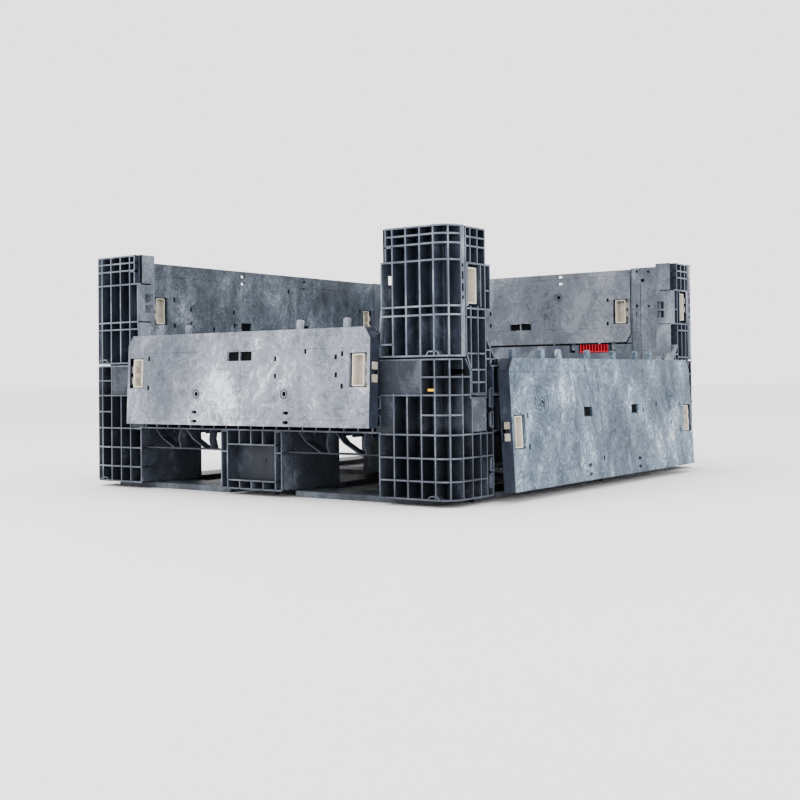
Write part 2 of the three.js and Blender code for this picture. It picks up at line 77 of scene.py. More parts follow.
def hanging(name):
    """The turn that carries a door from closed, as it is drawn, to hanging on its own hinge."""
    joint = next(joint for joint in frame["joints"] if joint["name"] == name)
    pivot = Vector(joint["pos_m"])
    turn = Matrix.Rotation(math.radians(-joint["range_deg"][1]), 4, Vector(joint["axis"]))
    return Matrix.Translation(pivot) @ turn @ Matrix.Translation(-pivot)


FRONT_OPEN = hanging("front_door_swing")
RIGHT_OPEN = hanging("right_door_swing")
HALF_TURN = Matrix.Rotation(math.pi, 4, "Z")
STILL = Matrix.Identity(4)


# ---- shape building -------------------------------------------------------------------------
def area(outline):
    pairs = zip(outline, outline[1:] + outline[:1])
    return sum(a[0] * b[1] - b[0] * a[1] for a, b in pairs) / 2


LAP = 0.8  # how far each piece of a bent web runs past its ends, to close the bends

PLACE = {
    "x": lambda a, b, h: (h, a, b),
    "y": lambda a, b, h: (a, h, b),
    "z": lambda a, b, h: (a, b, h),
}


class Solid:
    """Plain closed shapes gathered into one mesh."""

    def __init__(self):
        self.verts = []
        self.faces = []
        self.paints = []
        self.paint = 0

    def note(self):
        self.paints += [self.paint] * (len(self.faces) - len(self.paints))
        return self

    def prism(self, outline, axis, low, high):
        """An outline of (x, y), (x, z) or (y, z) points, extruded along the remaining axis."""
        low, high = sorted((low, high))
        turned = area(outline) < 0
        if turned != (axis == "y"):
            outline = outline[::-1]
        n, start = len(outline), len(self.verts)
        put = PLACE[axis]
        self.verts += [put(a, b, low) for a, b in outline] + [put(a, b, high) for a, b in outline]
        self.faces.append([start + i for i in reversed(range(n))])
        self.faces.append([start + n + i for i in range(n)])
        for i in range(n):
            j = (i + 1) % n
            self.faces.append([start + i, start + j, start + n + j, start + n + i])
        return self.note()

    def box(self, xs, ys, zs):
        (x0, x1), (y0, y1) = sorted(xs), sorted(ys)
        return self.prism([(x0, y0), (x1, y0), (x1, y1), (x0, y1)], "z", *zs)

    def plate(self, us, vs, axis, low, high, holes):
        """A rectangular plate with rectangular holes or notches, each (u0, u1, v0, v1)."""
        (u0, u1), (v0, v1) = sorted(us), sorted(vs)
        lines_u = sorted({u0, u1} | {min(max(u, u0), u1) for hole in holes for u in hole[:2]})
        lines_v = sorted({v0, v1} | {min(max(v, v0), v1) for hole in holes for v in hole[2:]})
        low, high = sorted((low, high))

        def filled(i, j):
            if not (0 <= i < len(lines_u) - 1 and 0 <= j < len(lines_v) - 1):
                return False
            u = (lines_u[i] + lines_u[i + 1]) / 2
            v = (lines_v[j] + lines_v[j + 1]) / 2
            return not any(a < u < b and c < v < d for a, b, c, d in holes)

        seen = {}

        def vert(i, j, h):
            key = (i, j, h)
            if key not in seen:
                seen[key] = len(self.verts)
                self.verts.append(PLACE[axis](lines_u[i], lines_v[j], h))
            return seen[key]

        def face(corners):
            loop = [vert(*corner) for corner in corners]
            self.faces.append(loop[::-1] if axis == "y" else loop)

        for i in range(len(lines_u) - 1):
            for j in range(len(lines_v) - 1):
                if not filled(i, j):
                    continue
                ring = [(i, j), (i + 1, j), (i + 1, j + 1), (i, j + 1)]
                face([(a, b, high) for a, b in ring])
                face([(a, b, low) for a, b in ring[::-1]])
                steps = [(0, -1), (1, 0), (0, 1), (-1, 0)]
                for k, (di, dj) in enumerate(steps):
                    if not filled(i + di, j + dj):
                        a, b = ring[k], ring[(k + 1) % 4]
                        face([(*a, low), (*b, low), (*b, high), (*a, high)])
        return self.note()

    def strip(self, points, thickness, ys):
        """A thin web that follows points (x, z) and runs from one y to the other."""
        for (x0, z0), (x1, z1) in zip(points, points[1:]):
            long = math.hypot(x1 - x0, z1 - z0)
            dx, dz = (x1 - x0) / long, (z1 - z0) / long
            nx, nz = -dz * thickness / 2, dx * thickness / 2
            ex, ez = dx * LAP, dz * LAP
            corners = [(x0 - ex + nx, z0 - ez + nz), (x0 - ex - nx, z0 - ez - nz),
                       (x1 + ex - nx, z1 + ez - nz), (x1 + ex + nx, z1 + ez + nz)]
            self.prism(corners, "y", *ys)

    def round(self, centre, radius, axis, low, high, count=20, stretch=0):
        """A disc or bar; stretch makes it an oval that is longer along the first plane axis."""
        outline = []
        for i in range(count):
            angle = 2 * math.pi * (i + 0.5) / count
            side = math.copysign(stretch / 2, math.cos(angle))
            outline.append(
                (centre[0] + radius * math.cos(angle) + side, centre[1] + radius * math.sin(angle))
            )
        return self.prism(outline, axis, low, high)

    def ring(self, centre, outer, inner, axis, low, high, count=24):
        """A raised flat ring."""
        for i in range(count):
            a, b = (2 * math.pi * k / count for k in (i, i + 1))
            corners = [(outer, a), (outer, b), (inner, b), (inner, a)]
            outline = [(centre[0] + r * math.cos(t), centre[1] + r * math.sin(t)) for r, t in corners]
            self.prism(outline, axis, low, high)


# Stand-ins that mark each face's kind until finish_piece gives the real materials:
# plain, rib edge (scuffed and with a painted highlight on walls and base, painted shade on doors
# and latches), dark recess (painted shade in holes, slots and gaps) and cell (painted shade).
PAINTS = [bpy.data.materials.new(f"paint_{i}") for i in range(4)]
PLAIN, EDGE, RECESS, CELL = range(4)


def build(solid):
    mesh = bpy.data.meshes.new("shape")
    mesh.from_pydata([[c / 1000 for c in v] for v in solid.verts], [], solid.faces)
    mesh.update()
    for paint in PAINTS:
        mesh.materials.append(paint)
    for polygon, paint in zip(mesh.polygons, solid.paints):
        polygon.material_index = paint
    made = bpy.data.objects.new("shape", mesh)
    bpy.context.scene.collection.objects.link(made)
    return made


def carve(made, cutters):
    """Cuts the closed shapes in cutters out of an object for good."""
    tool = build(cutters)
    boolean = made.modifiers.new("carve", "BOOLEAN")
    boolean.operation = "DIFFERENCE"
    boolean.solver = "EXACT"
    boolean.use_self = True
    boolean.object = tool
    graph = bpy.context.evaluated_depsgraph_get()
    mesh = bpy.data.meshes.new_from_object(made.evaluated_get(graph))
    made.modifiers.clear()
    made.data = mesh
    bpy.data.objects.remove(tool)


# In square metres: a larger outside face is a plate, and a larger top is a ledge.
WIDEST_EDGE = 0.0044
WIDEST_LEDGE = 0.02


def on_skin(x, y, normal):
    """Whether a face lies on the outside of the walls or base."""
    if (y > END - 0.9 and abs(normal.y) > 0.9) or (x > SIDE - 0.9 and abs(normal.x) > 0.9):
        return True
    return (
        math.hypot(x - ARC_X, y - ARC_Y) > CORNER - 1.8
        and min(x - ARC_X, y - ARC_Y) > -1
        and abs(normal.z) < 0.5
    )


def ribbed(centre, normal, size):
    """The kind of a face of a wall or the base: rib edges are pale, partly from scuffs and partly a painted
    highlight, and cells are dark with painted shade.
    """
    x, y = abs(centre.x) * 1000, abs(centre.y) * 1000
    if on_skin(x, y, normal):
        return EDGE if size < WIDEST_EDGE else PLAIN
    if normal.z > 0.7 and size > WIDEST_LEDGE:
        return PLAIN
    # Cell faces deep in the end face get the dark cell material: painted shade.
    if y > END_IN + 11:
        jamb = x < 420 and abs(normal.x) > 0.7 and centre.z * 1000 > 345
        pocket = centre.z * 1000 < DECK and x < POCKET + 1 and abs(normal.x) > 0.7
        panel = x < 84 and 33 < END - y < 38 and abs(normal.y) > 0.9 and centre.z < 0.13
        return PLAIN if jamb or pocket or panel else CELL
    # Cell faces deep in the side face, the latch recess among them, get the dark cell material: painted
    # shade.
    if x > SIDE_IN + 11:
        return PLAIN if y < 538 and abs(normal.y) > 0.7 and centre.z * 1000 > 330 else CELL
    return PLAIN


def door_rim(half, along):
    """The kind of a face of a door: its ends, across axis number along, take the ribs' dark material, a
    painted shade.
    """

    def kind(centre, normal, size):
        at_end = abs(centre[along]) * 1000 > half - 18
        return EDGE if at_end and abs(normal[along]) > 0.5 else PLAIN

    return kind


def finish_piece(made, name, body, node, materials, matrix, bevel, kind=None):
    made.name = made.data.name = name
    while len(made.data.materials) < len(PAINTS):
        made.data.materials.append(None)
    for i in range(len(PAINTS)):
        made.data.materials[i] = materials[min(i, len(materials) - 1)]
    if kind:
        for polygon in made.data.polygons:
            if polygon.material_index == PLAIN:
                polygon.material_index = kind(polygon.center, polygon.normal, polygon.area)
    made.matrix_world = matrix
    edge = made.modifiers.new("edges", "BEVEL")
    edge.width = bevel / 1000
    edge.segments = 2
    edge.limit_method = "ANGLE"
    edge.angle_limit = math.radians(40)
    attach(made, body)
    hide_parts(node)


def copy_of(made):
    twin = bpy.data.objects.new("shape", made.data.copy())
    bpy.context.scene.collection.objects.link(twin)
    return twin


# ---- materials ------------------------------------------------------------------------------
def srgb(red, green, blue):
    def linear(value):
        value /= 255
        return value / 12.92 if value <= 0.04045 else ((value + 0.055) / 1.055) ** 2.4

    return (linear(red), linear(green), linear(blue), 1)


def plastic(name, stops, patch=2.4, weights=(1.3, 0.8, 0.45, 0.25), twist=1.0, rough=(0.42, 0.62), seed=0.0,
            metal=0.0, grain=0.25, shine=0.28, fine=420):
    """Moulded plastic with flow marks. stops are (position, colour) from dark to light; weights are for
    the broad patches, the smears, the fine wrinkles and the specks."""
    material = bpy.data.materials.new(name)
    material.use_nodes = True
    nodes, links = material.node_tree.nodes, material.node_tree.links
    shader = nodes["Principled BSDF"]
    shader.inputs["Metallic"].default_value = metal
    shader.inputs["Specular IOR Level"].default_value = shine
    place = nodes.new("ShaderNodeTexCoord")

    def add(kind, **values):
        node = nodes.new("ShaderNode" + kind)
        for name, value in values.items():
            node.inputs[name.replace("_", " ")].default_value = value
        return node

    def noise(scale, detail, distortion, stretch=(1, 1, 1)):
        mapping = add("Mapping", Location=(seed, seed * 0.7, -seed * 0.4), Scale=stretch)
        links.new(place.outputs["Object"], mapping.inputs["Vector"])
        node = add("TexNoise", Scale=scale, Detail=detail, Distortion=distortion, Roughness=0.6)
        links.new(mapping.outputs["Vector"], node.inputs["Vector"])
        return node.outputs["Fac"]

    def weigh(value, weight, total):
        node = add("Math")
        node.operation = "MULTIPLY_ADD"
        links.new(value, node.inputs[0])
        node.inputs[1].default_value = weight
        if isinstance(total, float):
            node.inputs[2].default_value = total
        else:
            links.new(total, node.inputs[2])
        return node.outputs["Value"]

    wrinkle = noise(patch * 9, 7, twist * 2.6)
    layers = [
        noise(patch, 2, twist * 0.6),
        noise(patch * 2.6, 4, twist * 1.6, (1, 1, 0.55)),
        wrinkle,
        noise(190, 3, 0.2),
    ]
    total = 0.5 - sum(weights) / 2
    for layer, weight in zip(layers, weights):
        total = weigh(layer, weight, total)
    ramp = add("ValToRGB")
    ramp.color_ramp.interpolation = "EASE"
    elements = ramp.color_ramp.elements
    while len(elements) < len(stops):
        elements.new(0.5)
    for element, (position, colour) in zip(elements, stops):
        element.position = position
        element.color = srgb(*colour)
    links.new(total, ramp.inputs["Fac"])
    links.new(ramp.outputs["Color"], shader.inputs["Base Color"])
    spread = add("MapRange", To_Min=rough[0], To_Max=rough[1])
    links.new(wrinkle, spread.inputs["Value"])
    links.new(spread.outputs["Result"], shader.inputs["Roughness"])
    bump = add("Bump", Strength=grain, Distance=0.0008)
    links.new(noise(fine, 4, 0.3), bump.inputs["Height"])
    links.new(bump.outputs["Normal"], shader.inputs["Normal"])
    return material


CALM = (0.3, 0.3, 0.3, 0.1)

frame_plain = plastic("frame_plastic", [(0.12, (44, 50, 59)), (0.42, (70, 77, 88)), (0.88, (128, 135, 145))],
    patch=4, seed=1.3)
# The wall plastic darkened with painted shade, for cell interiors and for door ribs and rims.
frame_cell_painted_shade = plastic("frame_cell_painted_shade", [(0.15, (24, 28, 37)), (0.5, (42, 48, 60)), (0.88, (80, 87, 100))],
    patch=6, seed=1.9, shine=0.2)
# Rib edges of the walls: paler from scuffs and from a painted highlight.
frame_edge_wear_and_highlight = plastic("frame_edge_wear_and_highlight", [(0.12, (52, 58, 69)), (0.5, (80, 87, 99)), (0.88, (128, 135, 146))],
    patch=7, seed=2.1)
base_plain = plastic("base_plastic", [(0.12, (34, 38, 46)), (0.5, (56, 61, 71)), (0.88, (104, 110, 121))],
    patch=5, weights=(1.2, 0.9, 0.6, 0.6), seed=4.2)
# The base plastic darkened with painted shade, for cell interiors.
base_cell_painted_shade = plastic("base_cell_painted_shade", [(0.15, (18, 21, 27)), (0.5, (32, 36, 44)), (0.88, (66, 71, 82))], patch=6,
    seed=4.7, shine=0.2)
# Rib edges of the base: paler from scuffs and from a painted highlight.
base_edge_wear_and_highlight = plastic("base_edge_wear_and_highlight", [(0.12, (44, 49, 58)), (0.5, (70, 76, 87)), (0.88, (112, 119, 130))],
    patch=7, seed=5.0)
front_panel = plastic("front_panel", [(0.0, (48, 53, 63)), (0.3, (84, 89, 100)), (0.62, (120, 125, 136)),
    (1.0, (204, 207, 213))], patch=2.4, weights=(1.5, 0.9, 0.9, 0.6), twist=0.9,
    seed=7.7, grain=0.6, fine=200)
right_panel = plastic("right_panel", [(0.0, (30, 40, 52)), (0.34, (60, 75, 90)), (0.62, (92, 108, 124)),
    (1.0, (168, 182, 194))], patch=2.8, weights=(1.2, 1.2, 1.5, 0.4),
    twist=1.6, seed=11.9, grain=0.6, fine=160)
left_panel = plastic("left_panel", [(0.0, (28, 33, 41)), (0.38, (56, 64, 74)), (0.62, (82, 91, 102)),
    (1.0, (146, 155, 165))], patch=3.2, weights=(1.3, 1.2, 1.1, 0.4),
    twist=1.4, seed=16.4, grain=0.4, fine=240)
rear_panel = plastic("rear_panel", [(0.0, (46, 51, 60)), (0.38, (88, 93, 103)), (0.62, (116, 121, 131)),
    (1.0, (178, 182, 189))], patch=2.4, weights=(1.5, 1.0, 0.8, 0.5), seed=21.5,
    grain=0.4, fine=240)
runner_dark = plastic("runner_plastic", [(0.2, (34, 38, 45)), (0.5, (52, 57, 65)), (0.8, (86, 92, 100))],
    patch=5, seed=8.8)
latch_beige = plastic("latch_plastic",
    [(0.3, (186, 178, 162)), (0.5, (205, 198, 184)), (0.7, (220, 214, 203))],
    patch=8, weights=CALM, rough=(0.35, 0.45), seed=3.3, grain=0.05)
# The latch beige darkened with painted shade, for cup backs and bolts.
latch_shade = plastic("latch_painted_shade", [(0.3, (140, 133, 121)), (0.5, (160, 153, 140)), (0.7, (182, 175, 163))],
    patch=12, rough=(0.4, 0.5), seed=7.3, grain=0.05)
clip_red = plastic("clip_plastic", [(0.3, (150, 0, 22)), (0.5, (178, 4, 34)), (0.7, (196, 20, 48))],
    patch=20, weights=CALM, rough=(0.3, 0.4), seed=6.1, grain=0.05)
marker_yellow = plastic("marker_plastic", [(0.3, (214, 160, 0)), (0.5, (226, 176, 0)), (0.7, (236, 190, 6))],
    patch=20, weights=CALM, rough=(0.35, 0.45), seed=9.4, grain=0.05)
rod_metal = plastic("rod_steel", [(0.3, (120, 122, 125)), (0.5, (158, 160, 163)), (0.7, (186, 188, 190))],
    patch=20, weights=CALM, rough=(0.28, 0.4), seed=2.9, metal=1.0, grain=0.05)
# Near-black fill behind holes, slots and gaps: painted shade.
shadow_dark = plastic("recess_painted_shade", [(0.3, (5, 6, 8)), (0.5, (9, 10, 13)), (0.7, (15, 17, 21))],
    patch=6, weights=CALM, rough=(0.7, 0.8), seed=3.9, grain=0.1, shine=0.05)


# ---- shared outlines ------------------------------------------------------------------------
def arc(radius, start, stop, steps=8):
    """Plan points round the corner at (+x, -y), from the end face (-90) to the side face (0)."""
    points = []
    for i in range(steps + 1):
        angle = math.radians(start + (stop - start) * i / steps)
        points.append((ARC_X + radius * math.cos(angle), -ARC_Y + radius * math.sin(angle)))
    return points


def pair(sign, low, high):
    return tuple(sorted((sign * low, sign * high)))


def span(middle, size=RIB):
    return (middle - size / 2, middle + size / 2)


def flipped(points, sx=1, sy=1):
    return [(sx * a, sy * b) for a, b in points]


def corner_shelf(solid, sx, sy, start, z, side_stop=None):
    """A level rib along the end face from x = start and round the corner, on to side_stop if given."""
    inside = -END_IN - 14
    turn = [(SIDE - 40, -ARC_Y), (ARC_X, inside)]
    if side_stop is not None:
        turn = [(SIDE - 0.3, side_stop), (SIDE - 43, side_stop), (SIDE - 43, inside)]
    outline = [(start, -END + 0.3), *arc(CORNER - 0.3, -90, 0), *turn, (start, inside)]
    solid.prism(flipped(outline, sx, sy), "z", *span(z))


def corner_post(solid, sx, sy, low, high):
    """The rib in the middle of a rounded corner."""
    cos, sin = math.cos(math.radians(-45)), math.sin(math.radians(-45))
    outline = [
        (ARC_X + r * cos - side * sin * RIB / 2, -ARC_Y + r * sin + side * cos * RIB / 2)
        for r, side in [(8, -1), (CORNER, -1), (CORNER, 1), (8, 1)]
    ]
    solid.prism(flipped(outline, sx, sy), "z", low, high)


TURNS = (0.5, 1.0, 1.57, 2.14, 2.64)  # angles, in radians, of the points round a tongue's end


def tongue(a, b, root, tip):
    """Outline of a rounded tongue on the lower edge of a door, from root down to tip."""
    middle, radius = (a + b) / 2, (b - a) / 2
    shoulder = tip + radius / 2
    curve = [(middle - radius * math.cos(t), shoulder - radius / 2 * math.sin(t)) for t in TURNS]
    return [(a, root), (a, shoulder), *curve, (b, shoulder), (b, root)]


# ---- end walls ------------------------------------------------------------------------------
END_RIBS = [449, 487, 526, ARC_X]
END_LEVELS = [TOP - 2, 618, 597, 559, 455, 435, 342]
END_TABS = [span(x, 16) for x in (-345.5, -199, 185.5, 330.5)]
JAMB_SLOTS = [(480, 502), (509, 532)]
END_SILL = 398.5
CLIP_GAP = (-332, -223)
END_LUGS = [0, 250, -250, 380, -380]
LUG = [(-9, 9, 3), (-9, -6, 17), (6, 9, 17)]  # from, to and depth of the three sides of a U


def end_wall():
    wall = Solid()
    face, inner = -END, -END_IN
    tall, deep_rib = (340, TOP), (face, inner - 12)
    for s in (1, -1):
        core = [(448, inner - 16), *arc(12, -90, 0, 4), (SIDE - 16, -ARC_Y)]
        full = core + [(SIDE - 16, inner - 3), (448, inner - 3)]
        hollow = core + [(SIDE - 16, inner - 8), (580, inner - 8), (580, inner - 3), (448, inner - 3)]
        # Where the side wall's bolts enter, the core is hollow behind holes in the inner skin.
        for outline, low, high in [(full, 340, 487), (hollow, 487, 507), (full, 507, 514), (hollow, 514, 534),
                                   (full, 534, TOP)]:
            wall.prism(flipped(outline, s), "z", low, high)
        holes = [(*pair(s, 580, SIDE - 15), low, high) for low, high in [(487, 507), (514, 534)]]
        wall.plate(pair(s, 447, SIDE - 16), tall, "y", inner - 3, inner, holes)
        band = [(inner - 12, inner - 5, z - h, z + h) for z, h in [(474, 4), (497, 9), (524, 9), (547, 4)]]
        wall.plate((inner - 14, inner), tall, "x", s * (SIDE - 4), s * SIDE, band)
        band = [(inner - 12, inner + 1, low - 0.5, high + 0.5) for _, _, low, high in band]
        wall.plate((inner - 14, inner), tall, "x", s * (SIDE - 17), s * (SIDE - 4), band)
        for x in END_RIBS:
            wall.box(span(s * x), deep_rib, tall)
        for x, next_x in zip(END_RIBS, END_RIBS[1:]):
            deep = x + 0.66 * (next_x - x)
            for low, high in [(343, 434), (457, 558), (561, 596)]:
                wall.box(span(s * deep, 3), (face + 22, inner - 12), (low, high))
        corner_post(wall, s, 1, 340, TOP)
        wall.box((s * (SIDE - 38), s * SIDE), (-ARC_Y - 3, -ARC_Y), tall)
        for z in END_LEVELS:
            corner_shelf(wall, s, 1, 428 if z > 560 else 415, z)
        # The jamb: a slotted plate, proud of its neighbours in the middle, where the latches bite.
        slots = [(inner - 34, inner - 5, low, high) for low, high in JAMB_SLOTS]
        wall.plate((-END + 11, inner), (372, TOP), "x", s * 415, s * 419, slots)
        wall.box((s * 415, s * 419), (face, face + 12), (451, 557))
        wall.box((s * 415, s * 430), (face + 11, face + 15), (557, TOP))
        wall.box((s * 428, s * 432), (face, inner - 7), (557, TOP))
        wall.box((s * 428, s * 450), (face, inner - 7), (592, 596))
        back = [(*pair(s, 431, 443), low, high) for low, high in [(478, 497), (506, 524)]]
        wall.plate(pair(s, 417, 449), tall, "y", inner - 7.5, inner, back)
        brace = [(415, 452), (419, 452), (411, 372), (406, 372)]
        wall.prism(flipped(brace, s), "y", face, inner - 12)
        wall.box((s * 405, s * 450), deep_rib, (368, 372))
        chamfer = [(416, 427), (398, END_SILL - 1), (416, END_SILL - 1)]
        wall.prism(flipped(chamfer, s), "y", face + 25, inner)
        wall.strip([(s * 541, 343), (s * 547, 352), (s * 571, 352), (s * 577, 343)], 3, (face, face + 20))
        # A near-black fill inside the foot notch: painted shade.
        wall.paint = RECESS
        wall.box((s * 546, s * 572), (face + 1.5, face + 12), (340.5, 351))
        wall.paint = PLAIN
        # Raised rings round near-black dots; the dots are painted shade standing in for holes.
        for x, z, r in [(436, 628, 4), (476, 625, 4), (456, 598, 6), (436, 516, 4), (476, 514, 4)]:
            wall.ring((s * x, z), r + 3, r + 1.6, "y", inner, inner + 0.6)
            wall.paint = RECESS
            wall.round((s * x, z), r, "y", inner, inner + 0.4, 16)
            wall.paint = PLAIN
    # Notches for the door's tongues and, on one side, for the red clips.
    notch = [(a - 3, b + 3, 370, 400) for a, b in END_TABS] + [(*CLIP_GAP, 368, 400)]
    wall.plate((-416, 416), (340, END_SILL), "y", inner - 16, inner, notch)
    top_notch = [(a - 3, b + 3, inner - 29, inner + 1) for a, b in END_TABS]
    top_notch.append((*CLIP_GAP, inner - 16, inner + 1))
    wall.plate((-416, 416), (face, inner), "z", END_SILL - 4, END_SILL, top_notch)
    wall.box((-416, 416), (face, inner), (340, 344))
    for i in range(21):
        x = -410 + 41 * i
        wall.box(span(x), (face, inner - 30), (341, END_SILL - 1))
    for low, high in [(-398, -321), (-279, -151), (-109, 109), (151, 279), (321, 398)]:
        wall.box((low, high), (face + 22.5, face + 24.5), (END_SILL - 2, 403.5))
    wall.box((-416, 416), (face + 26, face + 29), (342, END_SILL - 2))
    for x in END_LUGS:
        for low, high, deep in LUG:
            wall.box((x + low, x + high), (face + 4, face + 4 + deep), (END_SILL - 1, 414))
    return wall


# ---- doors ----------------------------------------------------------------------------------
# Half length, low and high edge, inner and outer face, and height of the hinge, of each kind of door.
END_DOOR = (411.5, 401, 636, -END_IN, -END + 25, 406)
SIDE_DOOR = (532, 323.5, 636, SIDE - 59, SIDE - 28, 329)
SKIN = 9  # thickness of a door's skin
GROOVE = 1.2  # width of the scored lines on a door


def end_door_shape():
    """The end door, drawn closed in the front wall: u is x, v is z, and depth grows towards -y."""
    half, low, high, inner, outer, hinge = END_DOOR
    outline = [(-half, 427), (-half + 17, low), (half - 17, low), (half, 427), (half, high), (-half, high)]
    skin = Solid().prism(outline, "y", inner - SKIN, inner)
    holes = Solid()
    dark = []

    def cut(u, s, wide, tall):
        z = hinge + s
        holes.box(span(u, wide), (inner - SKIN - 1, inner + 1), span(z, tall))
        if wide < 50:
            dark.append((u, s, wide, tall))

    for u in (-22, 21.5):
        cut(u, 56.5, 40, 23)
    for u, s in [(-330, 57), (-331, 134), (120, 65), (120, 107), (216, 49), (310, 64), (329, 57), (311, 106),
                 (329, 133)]:
        cut(u, s, 8, 12)
    for u in (-376.5, 376.5):
        cut(u, 95, 53, 80)
    for side in (-1, 1):
        holes.round((side * 150, hinge + 151), 6.5, "y", inner - SKIN - 1, inner + 1)
        dark.append((side * 150, 151, 14, 14))
        for s in (197, 220):
            holes.round((side * 156, hinge + s), 4, "y", inner - SKIN - 1, inner + 1, stretch=11)
    for s in (212, 43):
        z = hinge + s
        holes.box((-half + 8, half - 8), (inner - 0.9, inner + 1), span(z, GROOVE))
    holes.box((4, 5.2), (inner - 0.8, inner + 1), (hinge + 76, hinge + 226))
    made = build(skin)
    carve(made, holes)

    rest = Solid()
    for u, s in [(-282, 96), (-288, 151), (-3, 136), (139, 95), (286, 151)]:
        rest.ring((u, hinge + s), 9.5, 8, "y", inner, inner + 0.7)
        rest.round((u, hinge + s), 3.2, "y", inner, inner + 0.5, 12)
    for side in (-1, 1):
        for radius, paint in [(12, EDGE), (20, PLAIN)]:
            rest.paint = paint
            rest.ring((side * 150, hinge + 151), radius, radius - 2.4, "y", inner, inner + 1.1)
    # Rim, rib lattice and latch housings behind the skin, in the dark material: painted shade.
    rim, lattice, housing = (outer, inner - 5), (outer + 1, inner - 5), (outer + 1, inner - 1)
    rest.paint = EDGE
    rest.box((-half + 0.4, -half + RIB), rim, (428, high - 0.4))
    rest.box((half - RIB, half - 0.4), rim, (428, 480))
    rest.box((half - RIB, half - 0.4), rim, (531, high - 0.4))
    rest.box((half - RIB, half - 0.4), (outer, outer + 3), (480, 531))
    rest.box((-half + 1, half - 1), rim, (high - RIB, high - 0.4))
    rest.box((-half + 17, half - 17), rim, (low, low + RIB))
    slant = [(-half, 427), (-half + 17, low), (-half + 22, low), (-half + RIB, 429)]
    for s in (-1, 1):
        rest.prism(flipped(slant, s), "y", outer, inner - 5)
    for x in [0] + [s * (57 + 38 * i) for i in range(10) for s in (1, -1)]:
        spans = [(low + 1, 460), (542, high - 1)] if abs(x) > 350 else [(low + 1, high - 1)]
        for start, stop in spans:
            rest.box(span(x, 3.2), lattice, (start, stop))
    for z in (447, 494, 541, 588, 614):
        rest.box((-half + 2, -404), (outer + 1, inner - 7), span(z, 3.2))
        rest.box((-349, 349), lattice, span(z, 3.2))
    for s in (-1, 1):
        rest.box((s * 347, s * 405), (outer + 1, inner - 28.5), (460, 542))
        rest.box((s * 347, s * 349), housing, (458, 544))
        for z0, z1 in [(458, 480), (502, 509), (532, 544)]:
            rest.box((s * 403, s * 405), housing, (z0, z1))
        for z in (459, 543):
            rest.box((s * 348, s * 404), housing, span(z, 2))
    # Near-black plugs behind the small holes and windows: painted shade.
    rest.paint = RECESS
    for u, s, wide, tall in dark:
        z = hinge + s
        sunk = 7 if wide > 30 else 3
        rest.box(span(u, wide - 0.6), (inner - SKIN - 6, inner - sunk),
                 span(z, tall - 0.6))
    rest.paint = PLAIN
    for a, b in END_TABS:
        rest.prism(tongue(a, b, low + 6, 377), "y", inner - 21, inner - 11)
        rest.box((a, b), (inner - 21, inner - 5), (low, low + 10))
    for x in (130, -130, 300, -300):
        rest.round((-694, hinge), 7, "x", x - 20, x + 20, 16)
        rest.box(span(x, 40), (-694, outer + 1), span(hinge, 12))
    return made, build(rest)


